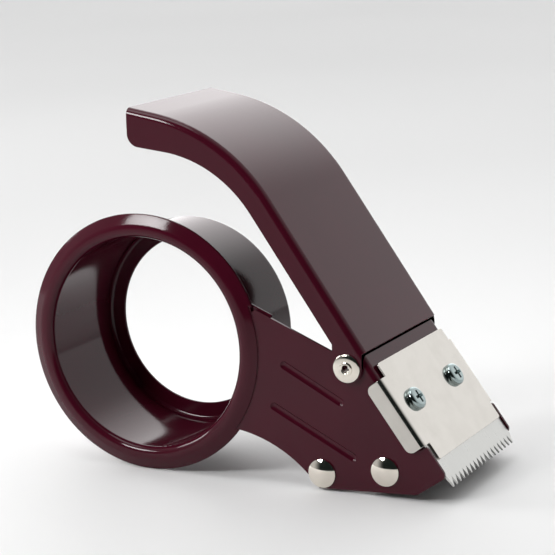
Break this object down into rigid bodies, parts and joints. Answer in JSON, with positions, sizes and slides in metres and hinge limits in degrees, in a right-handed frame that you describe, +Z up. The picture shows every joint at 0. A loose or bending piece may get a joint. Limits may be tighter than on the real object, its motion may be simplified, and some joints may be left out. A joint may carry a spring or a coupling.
{
  "type": "tape dispenser",
  "caption": "Hand-held packing-tape dispenser in pressed steel: drum for the roll, hinged channel handle, press roller and toothed blade under a clamp cover.",
  "frame": {"origin": "on the table under the middle of the whole dispenser's box", "axes": "+X from the drum towards the blade, +Y from the drum's flange side to the open side where the roll goes on, +Z up from the table"},
  "size_m": [0.1564, 0.0634, 0.1248],
  "materials": {
    "maroon_paint": "gloss dark maroon stove enamel",
    "bright_rivet": "polished bright nickel plate on steel rivets and washers",
    "roller_core": "moulded nylon tube",
    "roller_rubber": "ground black rubber",
    "nylon_spacer": "natural nylon",
    "guide_plastic": "moulded plastic, ribbed",
    "blade_steel": "ground spring steel",
    "nickel_plate": "bright warm nickel plate",
    "zinc_plate": "bright zinc plate"
  },
  "bodies": {
    "frame": {"main_frame": "maroon_paint", "tape_hub": "maroon_paint", "joint_strap": "maroon_paint", "seam_weld": "maroon_paint", "pivot_rivet_near": "bright_rivet", "pivot_rivet_far": "bright_rivet", "pivot_washer_near": "bright_rivet", "pivot_washer_far": "bright_rivet", "press_axle": "bright_rivet", "guide_axle": "bright_rivet", "press_spacer_near": "nylon_spacer", "press_spacer_far": "nylon_spacer", "guide_spacer_near": "nylon_spacer", "guide_spacer_far": "nylon_spacer", "blade": "blade_steel", "blade_cover": "nickel_plate", "cover_screws": "zinc_plate", "lock_washers": "zinc_plate", "cover_nuts": "zinc_plate"},
    "handle": {"handle": "maroon_paint"},
    "press_roller": {"press_roller_core": "roller_core", "press_roller_sleeve": "roller_rubber"},
    "guide_roller": {"guide_roller": "guide_plastic"}
  },
  "joints": [
    {"name": "handle_pivot", "type": "hinge", "parent": "frame", "child": "handle", "pos_m": [0.04276, 0, 0.0425], "axis": [0, 1, 0], "range_deg": [0, 25]},
    {"name": "press_roller_spin", "type": "hinge", "parent": "frame", "child": "press_roller", "pos_m": [0.05499, 0, 0.0088], "axis": [0, 1, 0], "continuous": true},
    {"name": "guide_roller_spin", "type": "hinge", "parent": "frame", "child": "guide_roller", "pos_m": [0.03224, 0, 0.0057], "axis": [0, 1, 0], "continuous": true}
  ]
}
